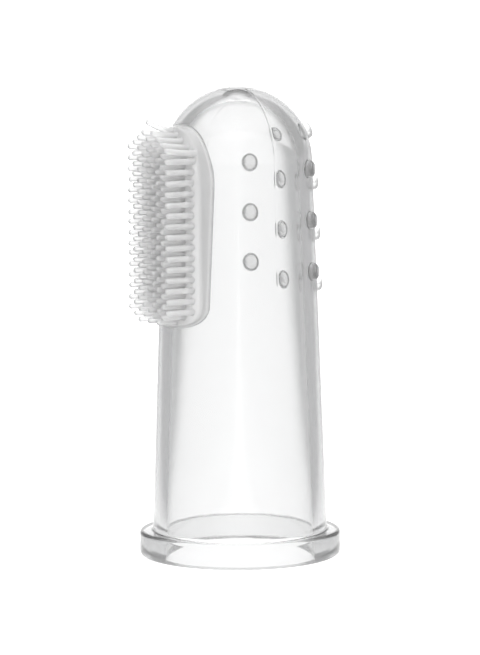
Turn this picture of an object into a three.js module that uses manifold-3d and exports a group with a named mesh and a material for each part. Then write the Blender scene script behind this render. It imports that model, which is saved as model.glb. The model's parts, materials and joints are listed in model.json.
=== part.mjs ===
// Finger toothbrush: a clear silicone sleeve that slips over a fingertip. A raised pad of soft
// bristles stands on one side and staggered massage nubs stand on the other.
// Millimetres, +Z up. The sleeve stands on its open rim at z = 0, with the bore on the Z axis.
// The bristles point along -Y, and the nubs sit around +Y.

import * as THREE from "three";
import { mergeVertices } from "three/addons/utils/BufferGeometryUtils.js";
import Module from "manifold-3d";

const wasm = await Module();
wasm.setup();

// ---- driving dimensions ----

// Rim: the thick ring around the open end.
const RIM_RADIUS = 12.6;
const RIM_HEIGHT = 3.2;
const RIM_ROUND = 0.4;

// Sleeve: a drafted tube, closed by a round tip.
const SLEEVE_RADIUS_LOW = 10.95;
const TIP_Z = 49.5;
const TIP_RADIUS = 9.26;
const DIMPLE_RADIUS = 2;
const DIMPLE_DEPTH = 0.85;

// Bore: narrows evenly from the mouth to TIP_Z, where its round end starts.
const BORE_RADIUS_MOUTH = 9.33;
const BORE_RADIUS_TIP = 7.5;

// Brush pad: a raised plateau with a round face, straight sides, a high arch above and a low one below.
const PAD_FACE_RADIUS = 10.5;
const PAD_HALF_WIDTH = 5.9;
const PAD_BOTTOM_Z = 29.55;
const PAD_LOW_ARCH_Z = 32.6;
const PAD_HIGH_ARCH_Z = 47;
const PAD_TOP_Z = 54.3;
const PAD_LOW_ARCH_POWER = 2.8;
const PAD_HIGH_ARCH_POWER = 2.05;
const PAD_FRONT_Y = 10.6;
const PAD_BACK_Y = 6;
const PAD_DRAFT = 0.06;
const PAD_GAP = 0.1;

// Bristles: straight columns on a staggered grid, all parallel, with their tips in one plane.
const COLUMNS_EACH_SIDE = 4;
const COLUMN_PITCH = 1.2;
const ROW_PITCH = 1.323;
const FIRST_ROW_Z = 30.25;
const ROWS_AT_EDGE = 16;
const TOP_ROW_DROP = 0.35;
const TIP_PLANE_Y = 12.9;
const BRISTLE_ROOT_RADIUS = 0.4;
const BRISTLE_TIP_RADIUS = 0.34;
const BRISTLE_ROUND = 0.15;
// A bristle bends about a line a little above its foot, at 0.15 of its length.
const BEND_LINE_RADIUS = PAD_FACE_RADIUS + 0.5;
const FOOT_HALF_WIDTH = 0.4;
const FOOT_HALF_DEPTH = 0.25;
const FOOT_END = 0.45;

// Nubs: short round pegs in four columns, an inner and an outer one on each side of +Y. The inner
// columns start higher, so that their nubs lie between the outer ones.
const NUB_RADIUS = 1.08;
const NUB_HEIGHT = 0.82;
const NUB_ROUND = 0.3;
const NUB_INNER_ANGLE = 17.9;
const NUB_OUTER_ANGLE = 50;
const NUB_PITCH = 6.36;
const NUB_INNER_TOP_Z = 53.05;
const NUB_INNER_COUNT = 4;
const NUB_OUTER_TOP_Z = 48.68;
const NUB_OUTER_COUNT = 3;
const NUB_GAP = 0.03;

// Fineness of the round shapes.
const ROUND_SIDES = 48;
const NUB_SIDES = 12;
const BRISTLE_SIDES = 6;
const TIP_STEPS = 8;
const ARCH_STEPS = 14;
const EDGE_STEPS = 3;

// ---- materials ----

const SILICONE_CLEAR = 0xe9edee;
const SILICONE_MILKY = 0xdfe4e5;

function silicone(color, roughness) {
  return new THREE.MeshStandardMaterial({ color, roughness, metalness: 0 });
}

const wallSilicone = silicone(SILICONE_CLEAR, 0.15);
const bristleSilicone = silicone(SILICONE_MILKY, 0.3);

// ---- helpers ----

const v2 = (x, y) => new THREE.Vector2(x, y);

// The geometry with its positions alone, each shared vertex once.
function welded(geometry) {
  geometry.deleteAttribute("normal");
  geometry.deleteAttribute("uv");
  return mergeVertices(geometry);
}

function toSolid(geometry) {
  const shell = welded(geometry);
  return new wasm.Manifold(
    new wasm.Mesh({
      numProp: 3,
      vertProperties: new Float32Array(shell.attributes.position.array),
      triVerts: new Uint32Array(shell.index.array),
    })
  );
}

function toGeometry(solid) {
  const mesh = solid.getMesh();
  const geometry = new THREE.BufferGeometry();
  geometry.setAttribute("position", new THREE.BufferAttribute(mesh.vertProperties, 3));
  geometry.setIndex(new THREE.BufferAttribute(mesh.triVerts, 1));
  geometry.computeVertexNormals();
  return geometry;
}

// A profile of (radius, height) points, turned around the Z axis.
function turned(profile, sides) {
  const geometry = new THREE.LatheGeometry(profile, sides);
  geometry.rotateX(Math.PI / 2);
  return geometry;
}

function named(name, geometry, material) {
  const mesh = new THREE.Mesh(geometry, material);
  mesh.name = name;
  return mesh;
}

// Points of a round edge from one angle to another, in degrees, about a centre.
function arc(x, y, radius, from, to, steps) {
  const points = [];
  for (let i = 0; i <= steps; i += 1) {
    const angle = THREE.MathUtils.degToRad(from + ((to - from) * i) / steps);
    points.push(v2(x + radius * Math.cos(angle), y + radius * Math.sin(angle)));
  }
  return points;
}

// ---- the skin: outer and inner radius at a height ----

function outerRadius(z) {
  if (z > TIP_Z) {
    return Math.sqrt(TIP_RADIUS ** 2 - (z - TIP_Z) ** 2);
  }
  const along = (z - RIM_HEIGHT) / (TIP_Z - RIM_HEIGHT);
  return THREE.MathUtils.lerp(SLEEVE_RADIUS_LOW, TIP_RADIUS, along);
}

function boreRadius(z) {
  return THREE.MathUtils.lerp(BORE_RADIUS_MOUTH, BORE_RADIUS_TIP, z / TIP_Z);
}

// ---- sleeve, tip and rim ----

function closedProfile(points) {
  return [...points, points[0].clone()];
}

function baseRim() {
  const side = RIM_RADIUS - RIM_ROUND;
  const profile = closedProfile([
    v2(boreRadius(0), 0),
    ...arc(side, RIM_ROUND, RIM_ROUND, -90, 0, EDGE_STEPS),
    ...arc(side, RIM_HEIGHT - RIM_ROUND, RIM_ROUND, 0, 90, EDGE_STEPS),
    v2(boreRadius(RIM_HEIGHT), RIM_HEIGHT),
  ]);
  return named("base_rim", turned(profile, ROUND_SIDES), wallSilicone);
}

function fingerSleeve() {
  const profile = closedProfile([
    v2(boreRadius(RIM_HEIGHT), RIM_HEIGHT),
    v2(SLEEVE_RADIUS_LOW, RIM_HEIGHT),
    v2(TIP_RADIUS, TIP_Z),
    v2(BORE_RADIUS_TIP, TIP_Z),
  ]);
  return named("finger_sleeve", turned(profile, ROUND_SIDES), wallSilicone);
}

// The tip's outside is a ball with a shallow bowl at its pole; its inside is a smaller ball.
function roundTip() {
  const bowlEdgeAngle = THREE.MathUtils.radToDeg(Math.acos(DIMPLE_RADIUS / TIP_RADIUS));
  const bowlEdgeZ = TIP_Z + TIP_RADIUS * Math.sin(THREE.MathUtils.degToRad(bowlEdgeAngle));
  const inside = arc(0, TIP_Z, BORE_RADIUS_TIP, 90, 0, TIP_STEPS);
  inside[0].x = 0;
  const profile = [
    ...inside,
    ...arc(0, TIP_Z, TIP_RADIUS, 0, bowlEdgeAngle, TIP_STEPS),
    v2(DIMPLE_RADIUS * 0.8, bowlEdgeZ - DIMPLE_DEPTH * 0.6),
    v2(DIMPLE_RADIUS * 0.4, bowlEdgeZ - DIMPLE_DEPTH),
    v2(0, bowlEdgeZ - DIMPLE_DEPTH),
  ];
  return named("round_tip", turned(profile, ROUND_SIDES), wallSilicone);
}

// ---- brush pad ----

// The pad seen from the front: straight sides between two superelliptic arches.
function padOutline() {
  const points = [];
  for (let i = 0; i < 2 * ARCH_STEPS; i += 1) {
    const angle = (Math.PI * i) / ARCH_STEPS;
    const across = Math.cos(angle);
    const up = Math.sin(angle);
    const above = i <= ARCH_STEPS;
    const power = 2 / (above ? PAD_HIGH_ARCH_POWER : PAD_LOW_ARCH_POWER);
    const from = above ? PAD_HIGH_ARCH_Z : PAD_LOW_ARCH_Z;
    const reach = above ? PAD_TOP_Z - from : from - PAD_BOTTOM_Z;
    points.push(
      v2(
        Math.sign(across) * PAD_HALF_WIDTH * Math.abs(across) ** power,
        from + Math.sign(up) * reach * Math.abs(up) ** power
      )
    );
    if (i === ARCH_STEPS) {
      points.push(v2(-PAD_HALF_WIDTH, PAD_LOW_ARCH_Z));
    }
  }
  points.push(v2(PAD_HALF_WIDTH, PAD_LOW_ARCH_Z));
  return new THREE.Shape(points);
}

function brushPad() {
  const reach = PAD_FRONT_Y - PAD_BACK_Y;
  const block = new THREE.ExtrudeGeometry(padOutline(), {
    depth: 1,
    bevelThickness: reach,
    bevelSize: reach * PAD_DRAFT,
    bevelSegments: 1,
  });
  // Local +Z becomes -Y, so that the narrow end of the upper bevel lies at PAD_FRONT_Y.
  block.rotateX(Math.PI / 2);
  block.translate(0, 1 - PAD_BACK_Y, 0);
  const face = turned(
    [v2(0, 0), v2(PAD_FACE_RADIUS, 0), v2(PAD_FACE_RADIUS, TIP_Z * 2), v2(0, TIP_Z * 2)],
    ROUND_SIDES * 2
  );
  const skin = turned(
    [
      v2(0, 0),
      v2(outerRadius(0) + PAD_GAP, 0),
      ...arc(0, TIP_Z, TIP_RADIUS + PAD_GAP, 0, 90, TIP_STEPS * 2),
    ],
    ROUND_SIDES
  );
  const pad = toSolid(block).intersect(toSolid(face)).subtract(toSolid(skin));
  return named("brush_pad", toGeometry(pad), wallSilicone);
}

// ---- bristles ----

function bendLineY(across) {
  return -Math.sqrt(BEND_LINE_RADIUS ** 2 - across ** 2);
}

// Heights of a column's bristles: odd columns are half a pitch up, the edge columns skip the
// pad's round corner, and each column nearer the middle rises half a pitch higher. The top
// bristle of every column sits a little low, to stay on the pad.
function bristleHeights(column) {
  const fromEdge = COLUMNS_EACH_SIDE - Math.abs(column);
  const firstRow = fromEdge === 0 ? 1 : (fromEdge % 2) / 2;
  const lastRow = ROWS_AT_EDGE + fromEdge / 2;
  const heights = [];
  for (let row = firstRow; row <= lastRow; row += 1) {
    heights.push(FIRST_ROW_Z + row * ROW_PITCH);
  }
  heights[heights.length - 1] -= TOP_ROW_DROP;
  return heights;
}

function bristle(length) {
  const shoulder = length - BRISTLE_ROUND;
  const profile = [
    v2(0, 0),
    v2(BRISTLE_ROOT_RADIUS, 0),
    v2(BRISTLE_TIP_RADIUS, shoulder),
    v2(BRISTLE_TIP_RADIUS - BRISTLE_ROUND, length),
    v2(0, length),
  ];
  const geometry = turned(profile, BRISTLE_SIDES);
  geometry.rotateX(Math.PI / 2);
  return geometry;
}

// One column: its bristles joined by the narrow foot that runs along their bend line.
function bristleColumn(column) {
  const across = column * COLUMN_PITCH;
  const footY = bendLineY(across);
  const heights = bristleHeights(column);
  const lowest = heights[0] - FOOT_END;
  const highest = heights[heights.length - 1] + FOOT_END;
  const foot = new THREE.BoxGeometry(2 * FOOT_HALF_WIDTH, 2 * FOOT_HALF_DEPTH, highest - lowest);
  foot.translate(across, footY, (lowest + highest) / 2);
  let solid = toSolid(foot);
  for (const height of heights) {
    const one = bristle(TIP_PLANE_Y + footY);
    one.translate(across, footY, height);
    solid = solid.add(toSolid(one));
  }
  const number = column + COLUMNS_EACH_SIDE + 1;
  return named(`bristle_column_${number}`, toGeometry(solid), bristleSilicone);
}

// ---- massage nubs ----

function massageNub() {
  return turned(
    [
      v2(0, 0),
      v2(NUB_RADIUS, 0),
      v2(NUB_RADIUS, NUB_HEIGHT - NUB_ROUND),
      v2(NUB_RADIUS - NUB_ROUND, NUB_HEIGHT),
      v2(0, NUB_HEIGHT),
    ],
    NUB_SIDES
  );
}

// How far the skin's outward direction tips up from level at a height, in radians.
function skinTilt(z) {
  if (z > TIP_Z) {
    return Math.asin((z - TIP_Z) / TIP_RADIUS);
  }
  return Math.atan((SLEEVE_RADIUS_LOW - TIP_RADIUS) / (TIP_Z - RIM_HEIGHT));
}

function nubColumn(letter, angle, topZ, count) {
  const column = new THREE.Group();
  column.rotation.z = THREE.MathUtils.degToRad(angle);
  for (let row = 0; row < count; row += 1) {
    const z = topZ - row * NUB_PITCH;
    const tilt = skinTilt(z);
    const nub = named(`massage_nub_${letter}${row + 1}`, massageNub(), wallSilicone);
    nub.position.set(0, outerRadius(z) + NUB_GAP * Math.cos(tilt), z + NUB_GAP * Math.sin(tilt));
    nub.rotation.x = tilt - Math.PI / 2;
    column.add(nub);
  }
  return column;
}

// ---- assembly ----

const fingerToothbrush = new THREE.Group();
fingerToothbrush.add(baseRim(), fingerSleeve(), roundTip(), brushPad());

for (let column = -COLUMNS_EACH_SIDE; column <= COLUMNS_EACH_SIDE; column += 1) {
  fingerToothbrush.add(bristleColumn(column));
}

fingerToothbrush.add(nubColumn("a", -NUB_OUTER_ANGLE, NUB_OUTER_TOP_Z, NUB_OUTER_COUNT));
fingerToothbrush.add(nubColumn("b", -NUB_INNER_ANGLE, NUB_INNER_TOP_Z, NUB_INNER_COUNT));
fingerToothbrush.add(nubColumn("c", NUB_INNER_ANGLE, NUB_INNER_TOP_Z, NUB_INNER_COUNT));
fingerToothbrush.add(nubColumn("d", NUB_OUTER_ANGLE, NUB_OUTER_TOP_Z, NUB_OUTER_COUNT));

export default fingerToothbrush;
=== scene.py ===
# Finger toothbrush in clear silicone, standing on its rim in a white studio.
import json
import math
import random

import bmesh
import bpy
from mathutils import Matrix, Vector

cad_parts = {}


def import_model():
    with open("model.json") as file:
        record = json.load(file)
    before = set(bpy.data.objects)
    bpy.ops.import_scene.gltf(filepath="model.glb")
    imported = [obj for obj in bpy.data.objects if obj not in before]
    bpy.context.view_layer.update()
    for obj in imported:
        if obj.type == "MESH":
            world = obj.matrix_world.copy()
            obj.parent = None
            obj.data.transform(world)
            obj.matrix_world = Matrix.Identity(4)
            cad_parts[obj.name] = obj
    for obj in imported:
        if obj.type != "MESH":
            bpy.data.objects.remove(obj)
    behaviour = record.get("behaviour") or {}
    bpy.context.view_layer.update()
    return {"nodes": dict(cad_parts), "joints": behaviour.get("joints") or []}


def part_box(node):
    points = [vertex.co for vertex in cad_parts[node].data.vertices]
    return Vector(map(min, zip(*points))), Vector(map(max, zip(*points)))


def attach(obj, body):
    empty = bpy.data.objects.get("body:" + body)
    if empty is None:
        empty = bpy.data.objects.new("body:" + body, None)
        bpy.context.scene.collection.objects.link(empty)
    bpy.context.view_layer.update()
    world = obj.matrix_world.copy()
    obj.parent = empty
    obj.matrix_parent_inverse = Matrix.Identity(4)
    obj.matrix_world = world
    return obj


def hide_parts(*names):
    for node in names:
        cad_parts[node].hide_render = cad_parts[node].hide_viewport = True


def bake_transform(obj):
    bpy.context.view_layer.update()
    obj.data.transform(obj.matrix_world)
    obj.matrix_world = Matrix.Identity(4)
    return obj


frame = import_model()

MM = 0.001

# ---- sizes taken from the CAD frame, in millimetres ----


def node_points(node):
    """A CAD node's vertices as (radius from the Z axis, height), in millimetres."""
    return [(v.co.xy.length / MM, v.co.z / MM) for v in frame["nodes"][node].data.vertices]


def node_box(node):
    """A CAD node's lowest and highest corners, in millimetres."""
    low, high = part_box(node)
    return low / MM, high / MM


RIM_RADIUS = node_box("base_rim")[1].x
RIM_HEIGHT = node_box("base_rim")[1].z
SLEEVE_RADIUS_LOW = node_box("finger_sleeve")[1].x
TIP_Z = node_box("finger_sleeve")[1].z
TIP_RADIUS = node_box("round_tip")[1].x
BORE_RADIUS_MOUTH = min(r for r, z in node_points("base_rim") if z < 0.01)
BORE_RADIUS_TIP = min(r for r, z in node_points("finger_sleeve"))
PAD_FACE_RADIUS = -node_box("brush_pad")[0].y
COLUMNS = sorted(n for n in frame["nodes"] if n.startswith("bristle_column_"))
NUBS = sorted(n for n in frame["nodes"] if n.startswith("massage_nub_"))
JOINTS = {j["child"]: j for j in frame["joints"]}

# ---- shapes that the CAD leaves plain, in millimetres ----

# Brush pad. Its outline has straight sides between two superelliptic arches.
PAD_HALF_WIDTH = 5.85
PAD_BOTTOM_Z = 29.55
PAD_LOW_ARCH_Z = 32.6
PAD_HIGH_ARCH_Z = 46.2
PAD_TOP_Z = 53.95
PAD_LOW_ARCH_POWER = 2.8
PAD_HIGH_ARCH_POWER = 2.5
PAD_ARCH_STEPS = 36
PAD_SIDE_STEPS = 20
PAD_FRONT_Y = 10.6
# Above this height the pad's face leans back with the round tip.
PAD_SHOULDER_Z = 47.3
PAD_SHOULDER_RADIUS = 17.0
PAD_DRAFT = 0.06
PAD_EDGE_ROUND = 0.3
PAD_FOOT_FILLET = 0.25
PAD_ROUND_STEPS = 8
# How far the rim of the pad's foot stays under the skin.
PAD_FOOT_UNDER = 0.015

# How far a moulded-on feature is sunk into what carries it, so that the two read as one solid.
SUNK = 0.12

# Bristles. The CAD's column reaches FOOT_END past its first and last bristle, and no bristle stands
# nearer to the pad's top than TOP_FOOT_INSET.
ROW_PITCH = 1.323
FOOT_END = 0.45
TOP_FOOT_INSET = 0.4
# The foot's profile is a list of (distance from the pad's face, radius).
BRISTLE_NECK_RADIUS = 0.4
BRISTLE_TIP_RADIUS = 0.34
BRISTLE_FOOT = [(-SUNK, 0.48), (0.0, 0.48), (0.03, 0.455), (0.09, 0.43), (0.2, 0.41)]
BRISTLE_FOOT_HEIGHT = 0.4
BRISTLE_STEPS = 5
BRISTLE_SIDES = 16
# How unevenly the bristles lean and how much their lengths differ.
LEAN_SCATTER = 0.018
LENGTH_SCATTER = 0.015
# How far up the tips of the top bristles lean, in the middle column and in the others.
TOP_LEAN_MIDDLE = 0.36
TOP_LEAN = 0.12

# Nubs. The profile is a list of (distance from the skin, radius).
NUB_SIDE = [(-SUNK, 1.18), (0.0, 1.18), (0.03, 1.13), (0.1, 1.1), (0.22, 1.08), (0.38, 1.04), (0.5, 0.99)]
NUB_TOP = [(0.6, 0.91), (0.68, 0.81), (0.74, 0.7), (0.79, 0.56), (0.82, 0.4), (0.835, 0.2)]
# Below this distance a nub's rings follow the round skin, and above it they are flat.
NUB_FLAT_FROM = 0.5
NUB_SIDES = 40

# The bowl at the tip: its edge, where its soft lip ends outside, and the lip's rounding.
DIMPLE_RADIUS = 2.0
DIMPLE_OUTSIDE = 2.3
DIMPLE_LIP_ROUND = 0.16
DIMPLE_DEPTH = 0.85
DIMPLE_STEPS = 20

# The mould seams: a fine ridge, lower on the sleeve and higher towards the top of the tip. A point
# of the outline that lies SEAM_SKIN_DEPTH inside the skin is in the bore and has no seam.
SEAM_HEIGHT = 0.016
SEAM_SKIN_DEPTH = 0.3
SEAM_WIDTH = 0.08
SEAM_SHARE_SLEEVE = 0.5
SEAM_SHARE_TIP = 2.5
SEAM_GROWTH_HEIGHT = 4

BODY_SIDES = 240
WALL_STEPS = 40
DOME_STEPS = 44
BORE_END_STEPS = 36

# ---- small tools ----


def smooth(t):
    """A soft step from 0 to 1 while t goes from 0 to 1."""
    t = min(1.0, max(0.0, t))
    return t * t * (3 - 2 * t)


def lerp(a, b, t):
    return a + (b - a) * t


def mesh_object(name, points, faces):
    """A smooth-shaded mesh from points in millimetres."""
    mesh = bpy.data.meshes.new(name)
    mesh.from_pydata([Vector(p) * MM for p in points], [], faces)
    mesh.validate()
    bm = bmesh.new()
    bm.from_mesh(mesh)
    bmesh.ops.remove_doubles(bm, verts=bm.verts, dist=1e-3 * MM)
    bmesh.ops.recalc_face_normals(bm, faces=bm.faces)
    bm.to_mesh(mesh)
    bm.free()
    mesh.polygons.foreach_set("use_smooth", [True] * len(mesh.polygons))
    mesh.set_sharp_from_angle(angle=math.radians(40))
    obj = bpy.data.objects.new(name, mesh)
    bpy.context.scene.collection.objects.link(obj)
    return obj


def skinned_rings(rings, first_cap=True, last_cap=True):
    """Points and faces that join closed rings of equal length, with a fan at each capped end."""
    count = len(rings[0])
    points = [p for ring in rings for p in ring]
    faces = []
    for i in range(len(rings) - 1):
        for j in range(count):
            k = (j + 1) % count
            faces.append((i * count + j, i * count + k, (i + 1) * count + k, (i + 1) * count + j))
    for capped, start in ((first_cap, 0), (last_cap, (len(rings) - 1) * count)):
        if capped:
            ring = points[start : start + count]
            centre = sum((Vector(p) for p in ring), Vector()) / count
            points.append(centre)
            faces += [(start + j, start + (j + 1) % count, len(points) - 1) for j in range(count)]
    return points, faces


def arc(x, y, radius, start, end, steps):
    """Points round part of a circle, angles in degrees."""
    angles = [math.radians(lerp(start, end, i / steps)) for i in range(steps + 1)]
    return [(x + radius * math.cos(a), y + radius * math.sin(a)) for a in angles]


def rounded(corner, before, after, radius, steps=7):
    """Points of a soft corner, a quadratic curve that starts and ends at radius from the corner."""
    c, a, b = Vector(corner), Vector(before), Vector(after)
    start = c + (a - c).normalized() * radius
    end = c + (b - c).normalized() * radius
    curve = []
    for i in range(steps + 1):
        t = i / steps
        curve.append(start * (1 - t) ** 2 + c * 2 * t * (1 - t) + end * t**2)
    return [tuple(p) for p in curve]


# ---- the skin that everything is moulded on ----


def skin_radius(z):
    """The outside radius at a height."""
    if z > TIP_Z:
        return math.sqrt(max(0.0, TIP_RADIUS**2 - (z - TIP_Z) ** 2))
    return lerp(SLEEVE_RADIUS_LOW, TIP_RADIUS, (z - RIM_HEIGHT) / (TIP_Z - RIM_HEIGHT))


def skin_height(radius):
    """The tip's height at a distance from the axis."""
    return TIP_Z + math.sqrt(TIP_RADIUS**2 - radius**2)


def skin_distance(point):
    """How far a point stands off the skin, negative inside."""
    if point.z > TIP_Z:
        return (point - Vector((0, 0, TIP_Z))).length - TIP_RADIUS
    return point.xy.length - skin_radius(point.z)


def skin_tilt(z):
    """How far the skin's outward direction tips up from level, in radians."""
    if z > TIP_Z:
        return math.asin(min(1.0, (z - TIP_Z) / TIP_RADIUS))
    return math.atan((SLEEVE_RADIUS_LOW - TIP_RADIUS) / (TIP_Z - RIM_HEIGHT))


# ---- silicone body: rim, sleeve and tip in one ----


def bore_radius(z):
    """The bore's radius at a height, up to where its round end starts."""
    return lerp(BORE_RADIUS_MOUTH, BORE_RADIUS_TIP, z / TIP_Z)


def dimple_profile():
    """The shallow bowl at the tip, from its floor on the axis out over its soft lip."""
    lip_z = skin_height(DIMPLE_RADIUS)
    bowl = []
    for i in range(DIMPLE_STEPS - 2):
        share = i / DIMPLE_STEPS
        steeper = 1 - 0.12 * smooth((share - 0.6) / 0.4)
        bowl.append((DIMPLE_RADIUS * share, lip_z - DIMPLE_DEPTH * (1 - share**2) * steeper))
    outside = (DIMPLE_OUTSIDE, skin_height(DIMPLE_OUTSIDE))
    return bowl + rounded((DIMPLE_RADIUS, lip_z), bowl[-1], outside, DIMPLE_LIP_ROUND, 5)


def rim_profile():
    """The rim's outline from the foot of the sleeve, round the outside and up into the bore."""
    # Each corner with the size of its rounding.
    corners = [
        ((SLEEVE_RADIUS_LOW, RIM_HEIGHT), 0.3),
        ((RIM_RADIUS, RIM_HEIGHT), 0.5),
        ((RIM_RADIUS, 0.0), 0.7),
        ((BORE_RADIUS_MOUTH, 0.0), 0.3),
    ]
    before, after = (skin_radius(RIM_HEIGHT + 2), RIM_HEIGHT + 2), (bore_radius(2), 2)
    line = [before, *[c for c, _ in corners], after]
    outline = []
    for i, (_, size) in enumerate(corners):
        outline += rounded(line[i + 1], line[i], line[i + 2], size)
    return outline


def body_profile():
    """The wall's outline from the outer pole, down the outside and up the bore to the inner pole."""
    past_lip = math.degrees(math.acos(DIMPLE_OUTSIDE / TIP_RADIUS)) - 1.5
    dome = arc(0, TIP_Z, TIP_RADIUS, past_lip, 1, DOME_STEPS)
    above_round = 0.8
    wall_heights = [lerp(TIP_Z, RIM_HEIGHT + above_round, i / WALL_STEPS) for i in range(1, WALL_STEPS)]
    bore_heights = [lerp(above_round, TIP_Z, i / WALL_STEPS) for i in range(WALL_STEPS)]
    wall = [(skin_radius(z), z) for z in wall_heights]
    bore = [(bore_radius(z), z) for z in bore_heights]
    end = arc(0, TIP_Z, BORE_RADIUS_TIP, 0, 89.9, BORE_END_STEPS)
    end[-1] = (0.0, TIP_Z + BORE_RADIUS_TIP)
    return dimple_profile() + dome + wall + rim_profile() + bore + end


def body_angles():
    """Angles round the body, closer together at the two mould seams."""
    step = 2 * math.pi / BODY_SIDES
    angles = [i * step for i in range(BODY_SIDES)]
    for seam in (0.0, math.pi):
        for share in (0.2, 0.4, 0.6, 0.8):
            angles += [(seam + share * step) % (2 * math.pi), (seam - share * step) % (2 * math.pi)]
    return sorted(angles)


def seam_height(radius, z):
    """The mould seam's height at a point of the wall's outline: nothing in the bore and under the rim."""
    if radius <= skin_radius(z) - SEAM_SKIN_DEPTH or z <= SEAM_SKIN_DEPTH:
        return 0.0
    share = smooth((z - TIP_Z) / SEAM_GROWTH_HEIGHT)
    return SEAM_HEIGHT * lerp(SEAM_SHARE_SLEEVE, SEAM_SHARE_TIP, share)


def silicone_body():
    """The wall's outline turned round the Z axis, with a seam on the +X and the -X side."""
    profile = body_profile()
    angles = body_angles()
    rings = []
    for i in range(1, len(profile) - 1):
        radius, z = profile[i]
        along = (Vector(profile[i + 1]) - Vector(profile[i - 1])).normalized()
        normal = Vector((-along.y, along.x))
        height = seam_height(radius, z)
        ring = []
        for angle in angles:
            off_seam = abs(radius * math.sin(angle))
            ridge = height * math.exp(-((off_seam / SEAM_WIDTH) ** 2))
            out = radius + normal.x * ridge
            ring.append((out * math.cos(angle), out * math.sin(angle), z + normal.y * ridge))
        rings.append(ring)
    points, faces = skinned_rings(rings)
    points[-2] = Vector((0, 0, profile[0][1]))
    points[-1] = Vector((0, 0, profile[-1][1]))
    body = mesh_object("silicone_body", points, faces)
    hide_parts("base_rim", "finger_sleeve", "round_tip")
    return body


def frost_bowl(body, material):
    """The bowl at the tip keeps the matt face of its mould."""
    body.data.materials.append(material)
    lip_z = skin_height(DIMPLE_RADIUS)
    for polygon in body.data.polygons:
        middle = polygon.center / MM
        in_bowl = middle.xy.length < DIMPLE_RADIUS and 0.04 < lip_z - middle.z < DIMPLE_DEPTH + 0.1
        polygon.material_index = 1 if in_bowl else 0


# ---- brush pad ----


def pad_arch(from_z, to_z, arch_power):
    """A quarter of a superellipse, from the pad's straight side to its middle line."""
    quarter = []
    for i in range(PAD_ARCH_STEPS + 1):
        angle = math.pi / 2 * i / PAD_ARCH_STEPS
        x = PAD_HALF_WIDTH * max(0.0, math.cos(angle)) ** (2 / arch_power)
        z = from_z + (to_z - from_z) * math.sin(angle) ** (2 / arch_power)
        quarter.append((x if i < PAD_ARCH_STEPS else 0.0, z))
    return quarter


def pad_outline():
    """The pad's front outline as (position, outward direction), anticlockwise from the middle of its foot."""
    low = pad_arch(PAD_LOW_ARCH_Z, PAD_BOTTOM_Z, PAD_LOW_ARCH_POWER)
    high = pad_arch(PAD_HIGH_ARCH_Z, PAD_TOP_Z, PAD_HIGH_ARCH_POWER)
    heights = [lerp(PAD_LOW_ARCH_Z, PAD_HIGH_ARCH_Z, i / PAD_SIDE_STEPS) for i in range(1, PAD_SIDE_STEPS)]
    half = low[::-1] + [(PAD_HALF_WIDTH, z) for z in heights] + high
    loop = half + [(-x, z) for x, z in reversed(half[1:-1])]
    found = []
    for i, (x, z) in enumerate(loop):
        (ax, az), (bx, bz) = loop[i - 1], loop[(i + 1) % len(loop)]
        out = Vector((bz - az, -(bx - ax))).normalized()
        found.append((Vector((x, z)), out))
    return found


def face_depth(across, z):
    """How far the pad's face stands forward of the axis."""
    above = max(0.0, z - PAD_SHOULDER_Z)
    radius = PAD_FACE_RADIUS - PAD_SHOULDER_RADIUS + math.sqrt(PAD_SHOULDER_RADIUS**2 - above**2)
    return math.sqrt(radius**2 - across**2)


def skin_depth(across, z):
    """How far the body's skin stands forward of the axis."""
    return math.sqrt(max(1.0, skin_radius(z) ** 2 - across**2))


def sunk_depth(across, z):
    """How far the pad's hidden back stands forward of the axis."""
    return skin_depth(across, z) - SUNK


def pad_edge(base, out, depth_at):
    """Where the pad's drafted side, going back from its front outline, meets a surface."""
    depth = PAD_FRONT_Y
    for _ in range(12):
        p = base + out * PAD_DRAFT * (PAD_FRONT_Y - depth)
        depth = depth_at(p.x, p.y)
    return Vector((p.x, -depth, p.y))


def pad_side(base, out):
    """At one place of the pad's outline: where its face ends, its side's profile and where its foot ends."""
    top = pad_edge(base, out, face_depth)
    foot = pad_edge(base, out, skin_depth)
    inset = Vector((top.x, top.z)) - out * PAD_EDGE_ROUND
    inset = Vector((inset.x, -face_depth(inset.x, inset.y), inset.y))
    outset = Vector((foot.x, foot.z)) + out * PAD_FOOT_FILLET
    outset = Vector((outset.x, -skin_depth(outset.x, outset.y) + PAD_FOOT_UNDER, outset.y))
    height = (foot - top).length
    fillet = min(PAD_FOOT_FILLET, height * 0.45)
    profile = rounded(top, inset, foot, PAD_EDGE_ROUND, PAD_ROUND_STEPS)
    for share in (0.25, 0.5, 0.75):
        profile.append(tuple(top.lerp(foot, lerp(PAD_EDGE_ROUND / height, 1 - fillet / height, share))))
    profile += rounded(foot, top, outset, fillet, PAD_ROUND_STEPS)
    return inset, profile, outset


def pad_ring(share, depth_at, ends):
    """A ring on a surface of the pad, at a share of the way from the pad's middle line to its edge."""
    ring = []
    for end in ends:
        hub_z = min(PAD_HIGH_ARCH_Z - 1, max(PAD_LOW_ARCH_Z + 1, end.z))
        x, z = lerp(0.0, end.x, share), lerp(hub_z, end.z, share)
        ring.append((x, -depth_at(x, z), z))
    return ring


def brush_pad():
    """The pad as rings from the middle of its face, down its side and in under the skin."""
    insets, profiles, outsets = zip(*[pad_side(base, out) for base, out in pad_outline()])
    rings = [pad_ring(share, face_depth, insets) for share in (0.0, 0.15, 0.3, 0.45, 0.6, 0.75, 0.9)]
    rings += [list(ring) for ring in zip(*profiles)]
    rings += [pad_ring(share, sunk_depth, outsets) for share in (1.0, 0.8, 0.6, 0.4, 0.2, 0.0)]
    points, faces = skinned_rings(rings, first_cap=False, last_cap=False)
    pad = mesh_object("bristle_pad", points, faces)
    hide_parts("brush_pad")
    return pad


# ---- bristles ----


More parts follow.
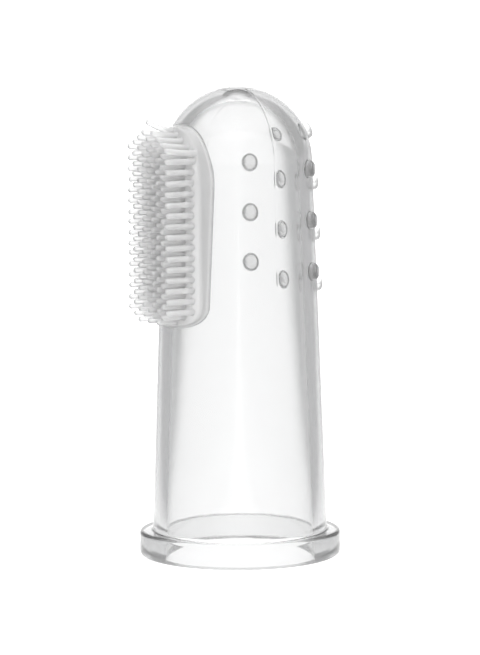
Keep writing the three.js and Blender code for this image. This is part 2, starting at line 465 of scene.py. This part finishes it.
def bristle_rings(across, height, length, lean_side, lean_up):
    """One bristle: a flared foot that follows the pad's face, a slim taper and a ball tip."""
    face = face_depth(across, height)
    neck, tip = BRISTLE_NECK_RADIUS, BRISTLE_TIP_RADIUS
    shape = [*BRISTLE_FOOT, (BRISTLE_FOOT_HEIGHT, neck)]
    for i in range(1, BRISTLE_STEPS + 1):
        t = lerp(BRISTLE_FOOT_HEIGHT, length - tip, i / BRISTLE_STEPS)
        shape.append((t, lerp(neck, tip, i / BRISTLE_STEPS)))
    for i in range(1, BRISTLE_STEPS + 1):
        a = math.pi / 2 * i / (BRISTLE_STEPS + 1)
        shape.append((length - tip + tip * math.sin(a), tip * math.cos(a)))
    rings = []
    for t, radius in shape:
        follow = 1 - smooth(t / BRISTLE_FOOT_HEIGHT)
        ring = []
        for j in range(BRISTLE_SIDES):
            a = 2 * math.pi * j / BRISTLE_SIDES
            x = across + radius * math.cos(a)
            z = height + radius * math.sin(a)
            lean = max(0.0, t) ** 1.5 / max(length, 0.1) ** 0.5
            base = lerp(face, face_depth(x, z), follow)
            ring.append((x + lean * lean_side, -base - t, z + lean * lean_up))
        rings.append(ring)
    return rings


def bristle_column(node, rng):
    """One column of bristles, whose feet stay on the pad while the rest leans a little."""
    low, high = node_box(node)
    across = (low.x + high.x) / 2
    first, last = low.z + FOOT_END, high.z - FOOT_END
    count = round((last - first) / ROW_PITCH) + 1
    tip_depth = -low.y
    points, faces = [], []
    for row in range(count):
        lean_side, lean_up = rng.gauss(0, LEAN_SCATTER), rng.gauss(0, LEAN_SCATTER)
        height = min(first + row * ROW_PITCH, last, PAD_TOP_Z - TOP_FOOT_INSET)
        if row == count - 1:
            lean_up = TOP_LEAN_MIDDLE if abs(across) < 0.1 else TOP_LEAN
        length = tip_depth - face_depth(across, height) + rng.gauss(0, LENGTH_SCATTER)
        rings = bristle_rings(across, height, length, lean_side, lean_up)
        more_points, more_faces = skinned_rings(rings)
        start = len(points)
        points += more_points
        faces += [tuple(i + start for i in f) for f in more_faces]
    number = node.rsplit("_", 1)[1]
    column = mesh_object(f"bristles_{number}_soft", points, faces)
    body = f"bristles_{number}"
    bend = JOINTS[body]["pos_m"]
    start = Vector((across * MM, -face_depth(across, PAD_SHOULDER_Z) * MM, bend[2]))
    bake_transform(column)
    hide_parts(node)
    return column


# ---- massage nubs ----


def massage_nub(node):
    """A short round peg, square to the skin where the CAD's nub stands."""
    points = [v.co / MM for v in frame["nodes"][node].data.vertices]
    centre = sum(points, Vector()) / len(points)
    angle = math.atan2(centre.y, centre.x)
    tilt = skin_tilt(centre.z)
    out = Vector((math.cos(angle) * math.cos(tilt), math.sin(angle) * math.cos(tilt), math.sin(tilt)))
    side = Vector((-math.sin(angle), math.cos(angle), 0))
    up = out.cross(side)
    base = centre - out * skin_distance(centre)
    rings = []
    for t, radius in NUB_SIDE + NUB_TOP:
        follow = 1 - smooth(t / NUB_FLAT_FROM)
        ring = []
        for j in range(NUB_SIDES):
            a = 2 * math.pi * j / NUB_SIDES
            p = base + side * radius * math.cos(a) + up * radius * math.sin(a)
            for _ in range(3):
                p -= out * skin_distance(p) * follow
            ring.append(p + out * t)
        rings.append(ring)
    nub = mesh_object(node + "_soft", *skinned_rings(rings))
    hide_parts(node)
    return nub


# ---- materials ----

# How strongly a metre of the silicone dims light.
BODY_HAZE = 92.0
NUB_HAZE = 50.0
BRISTLE_HAZE = 20.0
HAZE_TINT = (0.0, 0.01, 0.015, 1)

SILICONE_IOR = 1.41
PEEL_SCALE = 260
FLOW_SCALE = 900
BUMP_DISTANCE = 0.0002


def new_material(name):
    """A material with its nodes, its links and its shader."""
    material = bpy.data.materials.new(name)
    material.use_nodes = True
    nodes = material.node_tree.nodes
    return material, nodes, material.node_tree.links, nodes["Principled BSDF"]


def silicone(name, milky, roughness, bump, haziness):
    """Clear silicone: glassy, a little milky, with the faint orange peel and flow of a moulding."""
    material, nodes, links, shader = new_material(name)
    shader.inputs["Base Color"].default_value = (1.0, 1.0, 1.0, 1)
    shader.inputs["Transmission Weight"].default_value = 1 - milky
    shader.inputs["IOR"].default_value = SILICONE_IOR
    place = nodes.new("ShaderNodeTexCoord")
    peel = nodes.new("ShaderNodeTexNoise")
    peel.inputs["Scale"].default_value = PEEL_SCALE
    peel.inputs["Detail"].default_value = 2
    flow = nodes.new("ShaderNodeTexNoise")
    flow.inputs["Scale"].default_value = FLOW_SCALE
    flow.inputs["Detail"].default_value = 3
    spread = nodes.new("ShaderNodeMapRange")
    spread.inputs["To Min"].default_value = roughness * 0.6
    spread.inputs["To Max"].default_value = roughness * 1.5
    dent = nodes.new("ShaderNodeBump")
    dent.inputs["Strength"].default_value = bump
    dent.inputs["Distance"].default_value = BUMP_DISTANCE
    links.new(place.outputs["Object"], peel.inputs["Vector"])
    links.new(place.outputs["Object"], flow.inputs["Vector"])
    links.new(peel.outputs["Fac"], dent.inputs["Height"])
    links.new(dent.outputs["Normal"], shader.inputs["Normal"])
    links.new(flow.outputs["Fac"], spread.inputs["Value"])
    links.new(spread.outputs["Result"], shader.inputs["Roughness"])
    haze = nodes.new("ShaderNodeVolumeAbsorption")
    haze.inputs["Color"].default_value = HAZE_TINT
    haze.inputs["Density"].default_value = haziness
    links.new(haze.outputs["Volume"], nodes["Material Output"].inputs["Volume"])
    return material


def dress(obj, material):
    """One material all over an object."""
    obj.data.materials.clear()
    obj.data.materials.append(material)


# ---- studio ----

VIEW_AZIMUTH = math.radians(60.7)
VIEW_ELEVATION = math.radians(6.8)
VIEW_ROLL = math.radians(-0.35)
VIEW_DISTANCE = 0.492
VIEW_TARGET_Z = 0.0286
VIEW_OFFSET = 0.00015
LENS = 216.3
VIEW_SIDE = Vector((math.cos(VIEW_AZIMUTH), math.sin(VIEW_AZIMUTH), 0))
VIEW_AHEAD = Vector((-math.sin(VIEW_AZIMUTH), math.cos(VIEW_AZIMUTH), 0))

FLOOR_SIZE = 12
FLOOR_DROP = 0.00002
# The floor's painted pool of light, a glowing lane: half its width beside the brush, how fast it widens
# behind it, and the shares of that width between which it fades into the dimmer grey glow beside it.
LANE_HALF_WIDTH = 0.0165
LANE_SPREAD = 0.08
LANE_FADE = (0.95, 2.6)
# The floor's glow colours: painted light in the lane and a dimmer painted grey glow beside it.
LANE_PAINTED_GLOW = (1.3, 1.3, 1.3, 1)
FLOOR_DIM_PAINTED_GLOW = (0.55, 0.55, 0.555, 1)

# The dome's brightness: pale walls and a bright ceiling, and a large soft light behind and in front.
# An edge says where a light starts and where it is full: the ceiling by the height of the direction
# looked in, and the other two by how nearly that direction runs straight ahead of the camera.
WALL_LIGHT = 0.6
CEILING_LIGHT = 1.9
CEILING_EDGE = (0.55, 0.8)
WINDOW_LIGHT = 0.8
BEHIND_EDGE = (0.9, 0.98)
FRONT_EDGE = (-0.1, -0.8)

# Light crosses up to a dozen silicone surfaces on its way through the bristles, the pad and both walls.
CLEAR_BOUNCES = 40
DIFFUSE_BOUNCES = 8


def camera():
    """A long lens at the photograph's angle."""
    data = bpy.data.cameras.new("camera")
    data.lens = LENS
    data.sensor_width = 36
    data.clip_start = 0.01
    obj = bpy.data.objects.new("camera", data)
    bpy.context.scene.collection.objects.link(obj)
    back = Vector((0, 0, math.sin(VIEW_ELEVATION))) - VIEW_AHEAD * math.cos(VIEW_ELEVATION)
    target = Vector((0, 0, VIEW_TARGET_Z)) + VIEW_SIDE * VIEW_OFFSET
    obj.location = target + back * VIEW_DISTANCE
    obj.rotation_euler = (target - obj.location).to_track_quat("-Z", "Y").to_euler()
    obj.rotation_euler.rotate_axis("Z", VIEW_ROLL)
    bpy.context.scene.camera = obj


def soft_step(nodes, links, source, start, end, low, high):
    """A smooth change from low to high while the source goes from start to end."""
    step = nodes.new("ShaderNodeMapRange")
    step.interpolation_type = "SMOOTHSTEP"
    step.inputs["From Min"].default_value = start
    step.inputs["From Max"].default_value = end
    step.inputs["To Min"].default_value = low
    step.inputs["To Max"].default_value = high
    links.new(source, step.inputs["Value"])
    return step.outputs["Result"]


def maths(nodes, links, operation, *values):
    """A Math node, each of whose inputs is a number or another node's output."""
    node = nodes.new("ShaderNodeMath")
    node.operation = operation
    for i, value in enumerate(values):
        if isinstance(value, float):
            node.inputs[i].default_value = value
        else:
            links.new(value, node.inputs[i])
    return node.outputs[0]


def floor():
    """A large glowing floor with painted light: brightest in a lane under and behind the brush and a dimmer
    grey glow beside it.
    """
    bpy.ops.mesh.primitive_plane_add(size=FLOOR_SIZE, location=(0, 0, -FLOOR_DROP))
    obj = bpy.context.object
    obj.name = "studio_floor"
    material, nodes, links, shader = new_material("floor_painted_light_pool")
    place = nodes.new("ShaderNodeTexCoord")
    turn = nodes.new("ShaderNodeMapping")
    turn.inputs["Rotation"].default_value = (0, 0, -VIEW_AZIMUTH)
    split = nodes.new("ShaderNodeSeparateXYZ")
    links.new(place.outputs["Object"], turn.inputs["Vector"])
    links.new(turn.outputs["Vector"], split.inputs["Vector"])
    across = maths(nodes, links, "ABSOLUTE", split.outputs["X"])
    behind = maths(nodes, links, "MAXIMUM", split.outputs["Y"], 0.0)
    lane = maths(nodes, links, "MULTIPLY_ADD", behind, LANE_SPREAD, LANE_HALF_WIDTH)
    share = maths(nodes, links, "DIVIDE", across, lane)
    mix = nodes.new("ShaderNodeMix")
    mix.data_type = "RGBA"
    mix.inputs["A"].default_value = LANE_PAINTED_GLOW
    mix.inputs["B"].default_value = FLOOR_DIM_PAINTED_GLOW
    links.new(soft_step(nodes, links, share, *LANE_FADE, 0.0, 1.0), mix.inputs["Factor"])
    # The floor's colour is mostly its glow, a painted pool of light in the lane fading to a dimmer painted
    # grey beside it.
    links.new(mix.outputs["Result"], shader.inputs["Emission Color"])
    shader.inputs["Emission Strength"].default_value = 1.0
    shader.inputs["Base Color"].default_value = (0.12, 0.12, 0.12, 1)
    shader.inputs["Roughness"].default_value = 0.9
    shader.inputs["Specular IOR Level"].default_value = 0.0
    obj.data.materials.append(material)


def world():
    """A soft studio dome: pale walls, a broad bright ceiling and a large soft light behind and in front."""
    scene_world = bpy.data.worlds.new("studio_world")
    bpy.context.scene.world = scene_world
    scene_world.use_nodes = True
    nodes, links = scene_world.node_tree.nodes, scene_world.node_tree.links
    place = nodes.new("ShaderNodeTexCoord")
    split = nodes.new("ShaderNodeSeparateXYZ")
    toward = nodes.new("ShaderNodeVectorMath")
    toward.operation = "DOT_PRODUCT"
    toward.inputs[1].default_value = VIEW_AHEAD
    links.new(place.outputs["Generated"], split.inputs["Vector"])
    links.new(place.outputs["Generated"], toward.inputs[0])
    ceiling = soft_step(nodes, links, split.outputs["Z"], *CEILING_EDGE, WALL_LIGHT, CEILING_LIGHT)
    behind = soft_step(nodes, links, toward.outputs["Value"], *BEHIND_EDGE, 0.0, WINDOW_LIGHT)
    front = soft_step(nodes, links, toward.outputs["Value"], *FRONT_EDGE, 0.0, WINDOW_LIGHT)
    windows = maths(nodes, links, "ADD", behind, front)
    sky = nodes["Background"]
    sky.inputs["Color"].default_value = (1.0, 1.0, 1.0, 1)
    links.new(maths(nodes, links, "ADD", ceiling, windows), sky.inputs["Strength"])


# ---- making it ----

camera()
floor()
world()

clear = silicone("clear_silicone", milky=0.05, roughness=0.05, bump=0.06, haziness=BODY_HAZE)
frosted = silicone("frosted_silicone", milky=0.45, roughness=0.4, bump=0.1, haziness=BODY_HAZE)
nub_clear = silicone("nub_silicone", milky=0.1, roughness=0.05, bump=0.03, haziness=NUB_HAZE)
pad_clear = silicone("pad_silicone", milky=0.34, roughness=0.05, bump=0.06, haziness=BRISTLE_HAZE)
bristle_clear = silicone("bristle_silicone", milky=0.3, roughness=0.1, bump=0.03, haziness=BRISTLE_HAZE)

body = silicone_body()
dress(body, clear)
frost_bowl(body, frosted)
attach(body, "sleeve")
pad = brush_pad()
dress(pad, pad_clear)
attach(pad, "sleeve")
for nub in [massage_nub(n) for n in NUBS]:
    dress(nub, nub_clear)
    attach(nub, "sleeve")

dice = random.Random(11)
for column_node in COLUMNS:
    dress(bristle_column(column_node, dice), bristle_clear)

scene = bpy.context.scene
scene.view_settings.view_transform = "Standard"
scene.cycles.max_bounces = CLEAR_BOUNCES
scene.cycles.transmission_bounces = CLEAR_BOUNCES
scene.cycles.glossy_bounces = CLEAR_BOUNCES
scene.cycles.diffuse_bounces = DIFFUSE_BOUNCES
